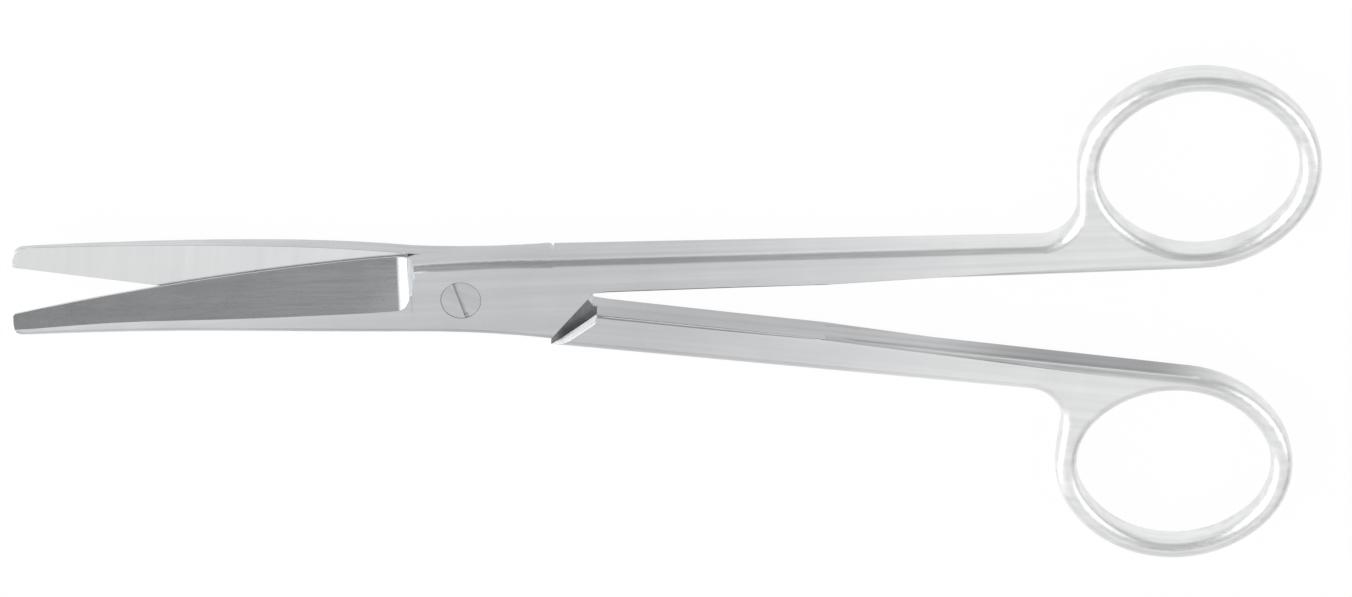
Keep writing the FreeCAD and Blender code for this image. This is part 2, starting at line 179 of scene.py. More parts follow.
class ScrewSizes(bpy.types.PropertyGroup):
    """Sizes of the turned pivot screw."""
    head_radius: bpy.props.FloatProperty(
        name="Head Radius", description="Radius of the flush head",
        default=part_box("pivot_screw")[1].x, unit="LENGTH", precision=5)
    head_rim: bpy.props.FloatProperty(
        name="Head Rim", description="Height of the straight rim below the head's face",
        default=0.25 * MM, unit="LENGTH", precision=5)
    head_depth: bpy.props.FloatProperty(
        name="Head Depth", description="Height of the rim and cone together",
        default=1.35 * MM, unit="LENGTH", precision=5)
    head_break: bpy.props.FloatProperty(
        name="Head Break", description="Small chamfer round the head's face",
        default=0.02 * MM, unit="LENGTH", precision=5)
    neck_radius: bpy.props.FloatProperty(
        name="Neck Radius", description="Radius of the plain neck that the front half turns on",
        default=1.6 * MM, unit="LENGTH", precision=5)
    thread_radius: bpy.props.FloatProperty(
        name="Thread Radius", description="Radius of the end that is held in the rear half",
        default=1.45 * MM, unit="LENGTH", precision=5)
    slot_width: bpy.props.FloatProperty(
        name="Slot Width", description="Width of the driver slot",
        default=0.55 * MM, unit="LENGTH", precision=5)
    slot_depth: bpy.props.FloatProperty(
        name="Slot Depth", description="Depth of the driver slot",
        default=0.6 * MM, unit="LENGTH", precision=5)
    slot_angle: bpy.props.FloatProperty(
        name="Slot Angle", description="Turn of the driver slot about the screw",
        default=math.radians(110), subtype="ANGLE")
    facets: bpy.props.IntProperty(
        name="Facets", description="Number of facets round the screw", default=96, min=24)
    color: bpy.props.FloatVectorProperty(
        name="Color", description="Colour of the screw's steel",
        default=(0.56, 0.57, 0.58), size=3, min=0, max=1, subtype="COLOR")


class StudioSetup(bpy.types.PropertyGroup):
    """Floor, lamps and camera."""
    floor_color: bpy.props.FloatVectorProperty(
        name="Floor Color", description="Colour of the plain floor",
        default=(0.92, 0.92, 0.92), size=3, min=0, max=1, subtype="COLOR")
    camera_lean: bpy.props.FloatProperty(
        name="Camera Lean", description="Angle between the camera's line of sight and the vertical",
        default=math.radians(28.1), subtype="ANGLE")
    camera_roll: bpy.props.FloatProperty(
        name="Camera Roll", description="Turn of the picture about the line of sight",
        default=math.radians(2.1), subtype="ANGLE")
    camera_distance: bpy.props.FloatProperty(
        name="Camera Distance", description="Distance from the camera to the middle of the view",
        default=0.71, unit="LENGTH")
    picture_width: bpy.props.FloatProperty(
        name="Picture Width", description="Width that the picture spans at the scissors",
        default=0.177, unit="LENGTH")
    middle_across: bpy.props.FloatProperty(
        name="Middle Across",
        description="How far to the right of the screw the view's middle lies",
        default=28.02 * MM, unit="LENGTH", precision=5)
    middle_down: bpy.props.FloatProperty(
        name="Middle Down", description="How far below the screw the view's middle lies",
        default=1.1 * MM, unit="LENGTH", precision=5)
    soft_light: bpy.props.FloatProperty(
        name="Soft Light", description="Strength of the world's even light", default=0.42, min=0)


# Small helpers for node trees

def node(tree, kind, links=None, **settings):
    """Add a node, set its properties, and fill its inputs from links or plain values."""
    made = tree.nodes.new(kind)
    for prop, setting in settings.items():
        setattr(made, prop, setting)
    for key, source in (links or {}).items():
        if isinstance(source, bpy.types.NodeSocket):
            tree.links.new(source, made.inputs[key])
        else:
            made.inputs[key].default_value = source
    return made


def maths(tree, operation, *terms):
    """Add a Math node and return its output."""
    return node(tree, "ShaderNodeMath", dict(enumerate(terms)), operation=operation).outputs[0]


def new_group(name, kind, inputs, outputs):
    """Make a node group with named sockets, given as name, socket type and default."""
    tree = bpy.data.node_groups.new(name, kind)
    for in_out, sockets in (("INPUT", inputs), ("OUTPUT", outputs)):
        for label, socket_type, default in sockets:
            socket = tree.interface.new_socket(
                label, in_out=in_out, socket_type="NodeSocket" + socket_type)
            if default is not None:
                socket.default_value = default
    return tree, tree.nodes.new("NodeGroupInput").outputs, tree.nodes.new("NodeGroupOutput").inputs


# Shader groups shared by the steels

# Nearly all of a noise texture's values lie in this range
NOISE_RANGE = {"From Min": 0.3, "From Max": 0.7}
# Hairline scratches: how far they slant, in radians, how many fit in a metre along and across
# them, and the noise values between which one comes up
SCRATCH_SLANT = 0.5
SCRATCHES_PER_METRE = (160.0, 5200.0, 5200.0)
SCRATCH_RANGE = {"From Min": 0.74, "From Max": 0.82}
# How deep a scratch is, as a share of the relief, how much of the relief the polish takes off,
# and how much rougher the clouds make the steel
SCRATCH_DEPTH = 0.35
POLISHED_OFF = 0.7
CLOUD_ROUGHNESS = 0.08
# How much a grinding mark lightens the steel, as a share of how much it darkens it
LIGHT_SHARE = 0.4
RELIEF_HEIGHT = 0.01 * MM
# Spacing of the rings that the lathe tool leaves on the screw
LATHE_SPACING = 0.9 * MM


def grind_lines_group():
    """Fine marks of a grinding belt: long along one direction, narrow across it."""
    tree, given, result = new_group(
        "grind_lines", "ShaderNodeTree",
        [("Turn", "Float", 0.0), ("Spacing", "Float", 0.16 * MM), ("Length", "Float", 14 * MM),
         ("Seed", "Float", 0.0)],
        [("Marks", "Float", None), ("Tone", "Float", None)])
    place = node(tree, "ShaderNodeTexCoord").outputs["Object"]
    turned = node(tree, "ShaderNodeVectorRotate", {"Vector": place, "Angle": given["Turn"]},
                  rotation_type="Z_AXIS").outputs[0]
    along = maths(tree, "DIVIDE", 1.0, given["Length"])
    across = maths(tree, "DIVIDE", 1.0, given["Spacing"])
    stretch = node(tree, "ShaderNodeCombineXYZ", {"X": along, "Y": across, "Z": across}).outputs[0]
    lines = node(tree, "ShaderNodeVectorMath", {0: turned, 1: stretch},
                 operation="MULTIPLY").outputs[0]
    fine = node(tree, "ShaderNodeTexNoise", {"Vector": lines, "W": given["Seed"], "Scale": 1.0,
                                             "Detail": 3.0, "Roughness": 0.6},
                noise_dimensions="4D").outputs[0]
    wide = node(tree, "ShaderNodeTexNoise", {"Vector": lines, "W": given["Seed"], "Scale": 0.13,
                                             "Detail": 2.0, "Roughness": 0.5},
                noise_dimensions="4D").outputs[0]
    tree.links.new(fine, result["Marks"])
    tree.links.new(wide, result["Tone"])
    return tree


def handling_group():
    """Soft clouds and sparse hairline scratches that handling and wiping leave on steel."""
    tree, given, result = new_group(
        "handling_marks", "ShaderNodeTree",
        [("Cloud Size", "Float", 9 * MM), ("Seed", "Float", 0.0)],
        [("Clouds", "Float", None), ("Scratches", "Float", None)])
    place = node(tree, "ShaderNodeTexCoord").outputs["Object"]
    size = maths(tree, "DIVIDE", 1.0, given["Cloud Size"])
    clouds = node(tree, "ShaderNodeTexNoise", {"Vector": place, "W": given["Seed"], "Scale": size,
                                               "Detail": 4.0, "Roughness": 0.55, "Distortion": 0.4},
                  noise_dimensions="4D").outputs[0]
    slanted = node(tree, "ShaderNodeVectorRotate", {"Vector": place, "Angle": SCRATCH_SLANT},
                   rotation_type="Z_AXIS").outputs[0]
    stretched = node(tree, "ShaderNodeVectorMath", {0: slanted, 1: SCRATCHES_PER_METRE},
                     operation="MULTIPLY").outputs[0]
    hairs = node(tree, "ShaderNodeTexNoise", {"Vector": stretched, "W": given["Seed"], "Scale": 1.0,
                                              "Detail": 0.0}, noise_dimensions="4D").outputs[0]
    sparse = node(tree, "ShaderNodeMapRange", {"Value": hairs, **SCRATCH_RANGE})
    tree.links.new(clouds, result["Clouds"])
    tree.links.new(sparse.outputs[0], result["Scratches"])
    return tree


def place_along(tree):
    """Place along the scissors from the screw, tips ahead."""
    place = node(tree, "ShaderNodeTexCoord").outputs["Object"]
    return node(tree, "ShaderNodeSeparateXYZ", {"Vector": place}).outputs["X"]


def soft_step(tree, along, start, end, share):
    """Grow from nothing at start to the given share at end, with a soft foot and shoulder."""
    return node(tree, "ShaderNodeMapRange", {
        "Value": along, "From Min": start, "From Max": end, "To Max": share},
        interpolation_type="SMOOTHSTEP").outputs[0]


def polish_and_sheen_group():
    """Share along a half of the rings' finer finish and painted sheen: whole at the rings, none at
    the box, some at a tip.
    """
    tree, given, result = new_group(
        "polish_and_sheen_along_half", "ShaderNodeTree",
        [("Ring Start", "Float", -14 * MM), ("Ring End", "Float", -82 * MM),
         ("Tip Start", "Float", 4 * MM), ("Tip End", "Float", 45 * MM),
         ("Tip Polish", "Float", 0.4)],
        [("Share", "Float", None)])
    along = place_along(tree)
    rings = soft_step(tree, along, given["Ring Start"], given["Ring End"], 1.0)
    tips = soft_step(tree, along, given["Tip Start"], given["Tip End"], given["Tip Polish"])
    tree.links.new(maths(tree, "ADD", rings, tips), result["Share"])
    return tree


def painted_shade_group():
    """Share of painted shade along a shank's inner side: it grows in two steps, then fades out."""
    tree, given, result = new_group(
        "painted_shade_along_shank", "ShaderNodeTree",
        [("First Start", "Float", -8 * MM), ("First End", "Float", -32 * MM),
         ("First Share", "Float", 0.55),
         ("Second Start", "Float", -60 * MM), ("Second End", "Float", -76 * MM),
         ("Fade Start", "Float", -90 * MM), ("Fade End", "Float", -104 * MM)],
        [("Share", "Float", None)])
    along = place_along(tree)
    second_share = maths(tree, "SUBTRACT", 1.0, given["First Share"])
    shares = maths(
        tree, "ADD",
        soft_step(tree, along, given["First Start"], given["First End"], given["First Share"]),
        soft_step(tree, along, given["Second Start"], given["Second End"], second_share))
    faded = soft_step(tree, along, given["Fade Start"], given["Fade End"], 1.0)
    kept = maths(tree, "SUBTRACT", 1.0, faded)
    tree.links.new(maths(tree, "MULTIPLY", shares, kept), result["Share"])
    return tree


def steel(name, color, roughness, bump, turn, spacing, length, tone=0.10, cloud=0.08, seed=0.0,
          polish_and_sheen=None, painted_shade=None):
    """A bare steel: grinding marks, tone along them, and handling marks, on a metal surface.

    turn, spacing and length lay out the marks, bump is their relief, tone and cloud are how much
    they and the clouds darken the steel. The last but one argument gives the colour and roughness
    that the steel changes to along the half: the lower roughness is a finer finish, the brighter
    colour a painted sheen. The last argument gives the darker colour, painted shade, that it
    changes to along a shank's inner side.
    """
    material = bpy.data.materials.new(name)
    material.use_nodes = True
    tree = material.node_tree
    surface = tree.nodes["Principled BSDF"]
    surface.inputs["Metallic"].default_value = 1.0
    surface.inputs["IOR"].default_value = 2.5
    grind = node(tree, "ShaderNodeGroup", node_tree=bpy.data.node_groups["grind_lines"])
    layout = {"Turn": turn, "Spacing": spacing, "Length": length, "Seed": seed}
    for socket, setting in layout.items():
        grind.inputs[socket].default_value = setting
    marks = node(tree, "ShaderNodeGroup", node_tree=bpy.data.node_groups["handling_marks"])
    marks.inputs["Seed"].default_value = seed + 3.0

    streaks = node(tree, "ShaderNodeMapRange", {
        "Value": grind.outputs["Tone"], **NOISE_RANGE,
        "To Min": 1.0 - tone, "To Max": 1.0 + tone * LIGHT_SHARE}).outputs[0]
    clouds = node(tree, "ShaderNodeMapRange", {
        "Value": marks.outputs["Clouds"], **NOISE_RANGE,
        "To Min": 1.0 - cloud, "To Max": 1.0}).outputs[0]
    shade = maths(tree, "MULTIPLY", streaks, clouds)
    tinted = node(tree, "ShaderNodeMix", data_type="RGBA", blend_type="MULTIPLY")
    tinted.inputs[0].default_value = 1.0
    tinted.inputs[6].default_value = (*color, 1.0)
    relief_height = grind.outputs["Marks"]
    # Towards the rings the lower roughness and flatter relief are the finer finish, and the brighter
    # colour is a painted sheen
    if polish_and_sheen is not None:
        bright_color, bright_roughness = polish_and_sheen
        polish_sheen_share = node(tree, "ShaderNodeGroup",
                      node_tree=bpy.data.node_groups["polish_and_sheen_along_half"]).outputs[0]
        changed = node(tree, "ShaderNodeMix", {
            0: polish_sheen_share, 6: (*color, 1.0), 7: (*bright_color, 1.0)}, data_type="RGBA")
        tree.links.new(changed.outputs[2], tinted.inputs[6])
        # The darker colour along a shank's inner side is painted shade
        if painted_shade is not None:
            share = node(tree, "ShaderNodeGroup",
                         node_tree=bpy.data.node_groups["painted_shade_along_shank"]).outputs[0]
            darker = node(tree, "ShaderNodeMix", {
                0: share, 6: changed.outputs[2], 7: (*painted_shade, 1.0)}, data_type="RGBA")
            tree.links.new(darker.outputs[2], tinted.inputs[6])
        roughness = node(tree, "ShaderNodeMix", {
            0: polish_sheen_share, 2: roughness, 3: bright_roughness}).outputs[0]
        kept = maths(tree, "MULTIPLY_ADD", polish_sheen_share, -POLISHED_OFF, 1.0)
        relief_height = maths(tree, "MULTIPLY", relief_height, kept)
    grey = node(tree, "ShaderNodeCombineColor", {"Red": shade, "Green": shade, "Blue": shade})
    tree.links.new(grey.outputs[0], tinted.inputs[7])
    tree.links.new(tinted.outputs[2], surface.inputs["Base Color"])

    uneven = node(tree, "ShaderNodeMapRange", {
        "Value": grind.outputs["Marks"], **NOISE_RANGE, "To Min": 0.8, "To Max": 1.2}).outputs[0]
    rough_marks = maths(tree, "MULTIPLY", uneven, roughness)
    rough = maths(tree, "MULTIPLY_ADD", marks.outputs["Clouds"], CLOUD_ROUGHNESS, rough_marks)
    tree.links.new(rough, surface.inputs["Roughness"])

    scratched = maths(tree, "MULTIPLY_ADD", marks.outputs["Scratches"], -SCRATCH_DEPTH,
                      relief_height)
    relief = node(tree, "ShaderNodeBump", {
        "Strength": bump, "Distance": RELIEF_HEIGHT, "Height": scratched})
    tree.links.new(relief.outputs[0], surface.inputs["Normal"])
    return material


def half_steels(body, half):
    """Make the materials of one half, in the order of FINISHES, with their marks along that half.

    Each zone has its colour, roughness, relief of the marks and what else steel takes.
    """
    finish = bpy.context.scene.steel_finish
    seed = half["seed"]
    turn = half["side"] * rest_half_angle()
    along = {"turn": turn, "spacing": finish.grind_spacing, "length": finish.grind_length}
    across = {"turn": turn + math.radians(90), "spacing": finish.grind_spacing,
              "length": finish.grind_length / 3}
    face, bow = finish.face_color, finish.bow_sheen_color
    # The lap and inner side colours are painted shade, and the brighter colour towards the rings is a
    # painted sheen
    zones = {
        SATIN: (face, 0.27, 0.35, {**along, "seed": seed, "polish_and_sheen": (bow, 0.36)}),
        BEVEL: (finish.bevel_color, 0.25, 0.25, {**along, "tone": 0.08, "seed": seed + 1}),
        SHEAR_FACE: (finish.shear_color, 0.28, 0.12,
                     {**across, "tone": 0.03, "cloud": 0.05, "seed": seed + 2}),
        LAP_SHADE: (finish.lap_shade_color, 0.4, 0.12, {**across, "cloud": 0.25, "seed": seed + 3}),
        INNER_SIDE: (face, 0.27, 0.35,
                     {**along, "seed": seed, "polish_and_sheen": (bow, 0.36), "painted_shade": finish.inner_shade_color}),
        RUBBED_EDGE: (face, 0.22, 0.1,
                      {**along, "tone": 0.05, "seed": seed + 4, "polish_and_sheen": (bow, 0.3)}),
    }
    return [steel(body + "_" + FINISHES[zone], color, roughness, bump, **others)
            for zone, (color, roughness, bump, others) in zones.items()]


def rest_half_angle():
    """Half of the angle between the blades at rest, read from the record's lower joint limit."""
    return math.radians(-frame["joints"][0]["range_deg"][0]) / 2


# The two halves

def joined_copy(source, name):
    """Copy a CAD node's mesh with its loose triangles joined and its flat faces made whole.

    An edge is a crease where the CAD surfaces on its two sides face different ways.
    """
    mesh = source.data.copy()
    mesh.name = name
    mesh.materials.clear()
    facing = mesh.attributes.new("cad_facing", "FLOAT_VECTOR", "CORNER")
    normals = np.array([corner.vector for corner in mesh.corner_normals], np.float32)
    facing.data.foreach_set("vector", normals.ravel())
    shape = bmesh.new()
    shape.from_mesh(mesh)
    bmesh.ops.remove_doubles(shape, verts=shape.verts, dist=WELD_DISTANCE)
    layer = shape.loops.layers.float_vector["cad_facing"]
    weight = shape.edges.layers.float.new("bevel_weight_edge")
    finish = bpy.context.scene.steel_finish
    for edge in shape.edges:
        turns = [turn_between(edge, corner, layer) for corner in edge.verts]
        edge.smooth = max(turns) < math.radians(finish.crease_angle_deg)
        if min(turns) > finish.crisp_angle and edge.is_convex:
            edge[weight] = break_share(edge, finish)
    for face in shape.faces:
        face.smooth = True
    bmesh.ops.dissolve_limit(shape, angle_limit=FLAT_ANGLE, verts=shape.verts, edges=shape.edges)
    fit_breaks(shape, weight, finish)
    shape.loops.layers.float_vector.remove(shape.loops.layers.float_vector["cad_facing"])
    shape.to_mesh(mesh)
    shape.free()
    for left_over in ("custom_normal", "sharp_face"):
        if left_over in mesh.attributes:
            mesh.attributes.remove(mesh.attributes[left_over])
    made = bpy.data.objects.new(name, mesh)
    bpy.context.scene.collection.objects.link(made)
    return made


def break_share(edge, finish):
    """Share of the edge break that a crisp edge gets, from where on the half it lies."""
    middle = (edge.verts[0].co + edge.verts[1].co) / 2
    if middle.x > SHANK_START:
        return finish.bore_share if middle.xy.length < BORE_REACH else finish.fine_share
    share = (middle.x - finish.break_end) / (finish.break_full - finish.break_end)
    return min(max(share, 0.0), 1.0)


def turn_between(edge, corner, layer):
    """Angle between the CAD normals of an edge's two faces, at one of its ends."""
    normals = [next(loop for loop in face.loops if loop.vert == corner)[layer]
               for face in edge.link_faces]
    return normals[0].angle(normals[1])


def fit_breaks(shape, weight, finish):
    """Fade the breaks along the shanks and narrow each to the room beside it."""
    for edge in [item for item in shape.edges if item[weight] > 0]:
        pieces = math.ceil(edge.calc_length() / finish.break_piece)
        for left in range(pieces, 1, -1):
            made, _ = bmesh.utils.edge_split(edge, edge.verts[0], 1 / left)
            made[weight] = edge[weight]
            edge = max(made, edge, key=lambda item: item.calc_length())
    room = {corner: min(edge.calc_length() for edge in corner.link_edges) for corner in shape.verts}
    for edge in shape.edges:
        if edge[weight] > 0:
            thinnest = min(face.calc_area() / max(side.calc_length() for side in face.edges)
                           for face in edge.link_faces)
            free = ROOM_SHARE * min(room[corner] for corner in edge.verts)
            kept = min(break_share(edge, finish), free / finish.edge_break)
            edge[weight] = kept if thinnest > finish.thinnest_strip else 0.0


def finish_zones(mesh, half):
    """Say which finish each face has, from where it lies on the half and which way it faces."""
    turn = Matrix.Rotation(half["side"] * rest_half_angle(), 3, "Z")
    zones = np.full(len(mesh.polygons), SATIN)
    for face in mesh.polygons:
        place = turn @ face.center
        facing = turn @ face.normal
        up = facing.z * half["up"]
        edge_side = facing.y * half["side"]
        lean = math.degrees(math.atan2(edge_side, up))
        on_blade = place.x > BLADE_START
        if (on_blade and up > BEVEL_UP and abs(facing.x) < BEVEL_TWIST
                and BEVEL_LEAN[0] < lean < BEVEL_LEAN[1]):
            zones[face.index] = BEVEL
        elif up < -MATING_DOWN and on_blade:
            zones[face.index] = SHEAR_FACE
        # Lap faces inside the box joint get the painted shade of its gap
        elif up < -MATING_DOWN and place.x > SHANK_START and abs(place.z - MID_HEIGHT) < LAP_REACH:
            zones[face.index] = LAP_SHADE
        # A shank's inner side, facing the other half, gets painted shade
        elif (edge_side < -INNER_SIDE_IN and place.y * half["side"] < INNER_SIDE_REACH
                and INNER_SIDE_END < place.x < SHANK_START):
            zones[face.index] = INNER_SIDE
    return zones


def apply_modifiers(made):
    """Turn the evaluated object into a plain mesh with no modifier left on it."""
    seen = made.evaluated_get(bpy.context.evaluated_depsgraph_get())
    mesh = bpy.data.meshes.new_from_object(seen, preserve_all_data_layers=True,
                                           depsgraph=bpy.context.evaluated_depsgraph_get())
    made.modifiers.clear()
    old = made.data
    made.data = mesh
    bpy.data.meshes.remove(old)
    mesh.name = made.name


class SCISSORS_OT_make_halves(bpy.types.Operator):
    """Dress the two forged halves: crisp edges broken, faces ground, rings finer with a painted sheen
    """
    bl_idname = "scissors.make_halves"
    bl_label = "Forged Halves"

    def execute(self, context):
        finish = context.scene.steel_finish
        for body, half in HALVES.items():
            made = joined_copy(frame["nodes"][half["node"]], body + "_forging")
            for material in half_steels(body, half):
                made.data.materials.append(material)
            made.data.polygons.foreach_set("material_index", finish_zones(made.data, half))
            edges = made.modifiers.new("edge_break", "BEVEL")
            edges.width = finish.edge_break
            edges.segments = 2
            edges.limit_method = "WEIGHT"
            edges.use_clamp_overlap = False
            edges.material = RUBBED_EDGE
            edges.miter_outer = "MITER_ARC"
            shading = made.modifiers.new("face_shading", "WEIGHTED_NORMAL")
            shading.mode = "FACE_AREA"
            shading.weight = 80
            shading.keep_sharp = True
            apply_modifiers(made)
            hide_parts(half["node"])
            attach(made, body)
        return {"FINISHED"}


# The pivot screw

# Height over which the neck steps down to the held end, and how far below mid height that lies
STEP_RISE = 0.005 * MM
STEP_DROP = 0.02 * MM
# Edges of the screw that turn by more than this are creases
SCREW_CREASE = math.radians(20)


def turned_screw_tree():
    """Geometry Nodes tree of a slotted screw: rings of height and radius, skinned and slotted."""
    sizes = ("Head Radius", "Head Rim", "Head Depth", "Head Break", "Neck Radius", "Thread Radius",
             "Top", "Step", "Slot Width", "Slot Depth", "Slot Angle")
    tree, given, result = new_group(
        "turned_screw", "GeometryNodeTree",
        [(label, "Float", 1 * MM) for label in sizes]
        + [("Facets", "Int", 96), ("Material", "Material", None)],
        [("Geometry", "Geometry", None)])

    def less(a, b):
        return maths(tree, "SUBTRACT", a, b)

    top, step, chamfer = given["Top"], given["Step"], given["Head Break"]
    rings = [
        (0.0, less(given["Thread Radius"], chamfer)),
        (chamfer, given["Thread Radius"]),
        (less(step, STEP_RISE), given["Thread Radius"]),
        (step, given["Neck Radius"]),
        (less(top, given["Head Depth"]), given["Neck Radius"]),
        (less(top, given["Head Rim"]), given["Head Radius"]),
        (less(top, chamfer), given["Head Radius"]),
        (top, less(given["Head Radius"], chamfer)),
    ]
    number = node(tree, "GeometryNodeInputIndex").outputs[0]
    picks = []
    for column in (0, 1):
        pick = node(tree, "GeometryNodeIndexSwitch", data_type="FLOAT")
        while len(pick.index_switch_items) < len(rings):
            pick.index_switch_items.new()
        tree.links.new(number, pick.inputs["Index"])
        for place, ring in enumerate(rings):
            socket = pick.inputs[1 + place]
            if isinstance(ring[column], bpy.types.NodeSocket):
                tree.links.new(ring[column], socket)
            else:
                socket.default_value = ring[column]
        picks.append(pick.outputs[0])
    height, radius = picks
    axis = node(tree, "GeometryNodeMeshLine", {"Count": len(rings)})
    axis_line = node(tree, "GeometryNodeMeshToCurve", {"Mesh": axis.outputs[0]})
    lifted = node(tree, "GeometryNodeSetPosition", {
        "Geometry": axis_line.outputs[0],
        "Position": node(tree, "ShaderNodeCombineXYZ", {"Z": height}).outputs[0]})
    circle = node(tree, "GeometryNodeCurvePrimitiveCircle", {
        "Resolution": given["Facets"], "Radius": 1.0})
    skin = node(tree, "GeometryNodeCurveToMesh", {
        "Curve": lifted.outputs[0], "Profile Curve": circle.outputs[0], "Scale": radius,
        "Fill Caps": True})

    # The block that cuts the slot stands out past the head, half above its face and half below
    wide = maths(tree, "MULTIPLY", given["Head Radius"], 3.0)
    tall = maths(tree, "MULTIPLY", given["Slot Depth"], 2.0)
    blade_size = node(tree, "ShaderNodeCombineXYZ", {
        "X": wide, "Y": given["Slot Width"], "Z": tall})
    blade = node(tree, "GeometryNodeMeshCube", {"Size": blade_size.outputs[0]})
    set_in = node(tree, "GeometryNodeTransform", {
        "Geometry": blade.outputs[0],
        "Translation": node(tree, "ShaderNodeCombineXYZ", {"Z": top}).outputs[0],
        "Rotation": node(tree, "ShaderNodeCombineXYZ", {"Z": given["Slot Angle"]}).outputs[0]})
    slotted = node(tree, "GeometryNodeMeshBoolean", {"Mesh 1": skin.outputs[0]},
                   operation="DIFFERENCE")
    tree.links.new(set_in.outputs[0], slotted.inputs["Mesh 2"])
    real = node(tree, "GeometryNodeRealizeInstances", {"Geometry": slotted.outputs[0]})
    clad = node(tree, "GeometryNodeSetMaterial", {
        "Geometry": real.outputs[0], "Material": given["Material"]})
    tree.links.new(clad.outputs[0], result["Geometry"])
    return tree


def turned_steel(name, color):
    """Steel with the fine rings that a lathe tool leaves round the axis."""
    material = steel(name, color, roughness=0.24, bump=0.1, turn=math.radians(20),
                     spacing=0.2 * MM, length=3 * MM, seed=11.0)
    tree = material.node_tree
    surface = tree.nodes["Principled BSDF"]
    place = node(tree, "ShaderNodeTexCoord").outputs["Object"]
    rings = node(tree, "ShaderNodeTexWave", {
        "Vector": place, "Scale": 1 / LATHE_SPACING, "Distortion": 0.8, "Detail": 1.0},
        wave_type="RINGS", rings_direction="Z", wave_profile="TRI").outputs[1]
    ground = surface.inputs["Normal"].links[0].from_socket
    relief = node(tree, "ShaderNodeBump", {
        "Strength": 0.3, "Distance": RELIEF_HEIGHT, "Height": rings, "Normal": ground})
    tree.links.new(relief.outputs[0], surface.inputs["Normal"])
    return material


class SCISSORS_OT_make_pivot_screw(bpy.types.Operator):
    """Turn the slotted pivot screw from its sizes with Geometry Nodes"""
    bl_idname = "scissors.make_pivot_screw"
    bl_label = "Pivot Screw"

    def execute(self, context):
        sizes = context.scene.screw_sizes
        made = bpy.data.objects.new("turned_pivot_screw", bpy.data.meshes.new("turned_pivot_screw"))
        context.scene.collection.objects.link(made)
        turned = made.modifiers.new("turned", "NODES")
        turned.node_group = turned_screw_tree()
        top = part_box("pivot_screw")[1].z
        values = {
            "Head Radius": sizes.head_radius, "Head Rim": sizes.head_rim,
            "Head Depth": sizes.head_depth, "Head Break": sizes.head_break,
            "Neck Radius": sizes.neck_radius, "Thread Radius": sizes.thread_radius,
            "Top": top, "Step": MID_HEIGHT - STEP_DROP, "Slot Width": sizes.slot_width,
            "Slot Depth": sizes.slot_depth, "Slot Angle": sizes.slot_angle,
            "Facets": sizes.facets, "Material": turned_steel("turned_screw_steel", sizes.color),
        }
        sockets = {item.name: item.identifier for item in turned.node_group.interface.items_tree
                   if item.item_type == "SOCKET" and item.in_out == "INPUT"}
        for label, setting in values.items():
            turned[sockets[label]] = setting
        apply_modifiers(made)
        if len(made.data.polygons) < sizes.facets * 5:
            raise RuntimeError("the pivot screw's tree made no screw")
        shape = bmesh.new()
        shape.from_mesh(made.data)
        for face in shape.faces:
            face.smooth = True
        for edge in shape.edges:
            edge.smooth = edge.is_manifold and edge.calc_face_angle() < SCREW_CREASE
        shape.to_mesh(made.data)
        shape.free()
        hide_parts("pivot_screw")
        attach(made, "rear")
        return {"FINISHED"}


# The studio

# How far the floor reaches from the screw, how far below the scissors it lies, and how much of
# what is seen of it is plain white
FLOOR_REACH = 2.0
FLOOR_GAP = 0.02 * MM
FLOOR_WHITENESS = 0.97

# Soft lamps: the direction they lie in from the scissors, in degrees round from +X and above
# the floor, their distance and size in metres, and their power in watts
LAMPS = {
    "far_side_panel": {"round": 100, "above": 58, "distance": 1.1, "size": (1.5, 0.75), "power": 2},
    "low_far_panel": {"round": 95, "above": 17, "distance": 1.2, "size": (1.6, 0.55), "power": 1.3},
    "tip_side_panel": {"round": -10, "above": 36, "distance": 0.9, "size": (0.7, 1), "power": 4.5},
    "low_near_panel": {"round": -90, "above": 14, "distance": 1.2, "size": (1.6, 0.55), "power": 2.2},
    "tip_far_panel": {"round": 33, "above": 25, "distance": 0.9, "size": (0.5, 0.8), "power": 1.9},
    "ring_side_panel": {"round": 185, "above": 35, "distance": 0.9, "size": (0.7, 0.5), "power": 2},
}


def studio_lamp(name, spec, target):
    """Hang one rectangular soft lamp that shines at the target."""
    data = bpy.data.lights.new(name, "AREA")
    data.shape = "RECTANGLE"
    data.size, data.size_y = spec["size"]
    data.energy = spec["power"]
    lamp = bpy.data.objects.new(name, data)
    bpy.context.scene.collection.objects.link(lamp)
    turn, rise = math.radians(spec["round"]), math.radians(spec["above"])
    level = Vector((math.cos(turn), math.sin(turn), 0)) * math.cos(rise)
    back = level + Vector((0, 0, math.sin(rise)))
    lamp.location = target + back * spec["distance"]
    lamp.rotation_mode = "QUATERNION"
    lamp.rotation_quaternion = back.to_track_quat("Z", "Y")


def seen_white(tree, lit, strength):
    """Show a plain white instead of a lit surface to the camera and in reflections."""
    path = node(tree, "ShaderNodeLightPath").outputs
    seen = maths(tree, "MAXIMUM", path["Is Camera Ray"], path["Is Glossy Ray"])
    seen = maths(tree, "MAXIMUM", seen, path["Is Transmission Ray"])
    share = maths(tree, "MULTIPLY", seen, strength)
    glow = node(tree, "ShaderNodeEmission", {"Color": (1, 1, 1, 1), "Strength": 1.0}).outputs[0]
    return node(tree, "ShaderNodeMixShader", {0: share, 1: lit, 2: glow}).outputs[0]


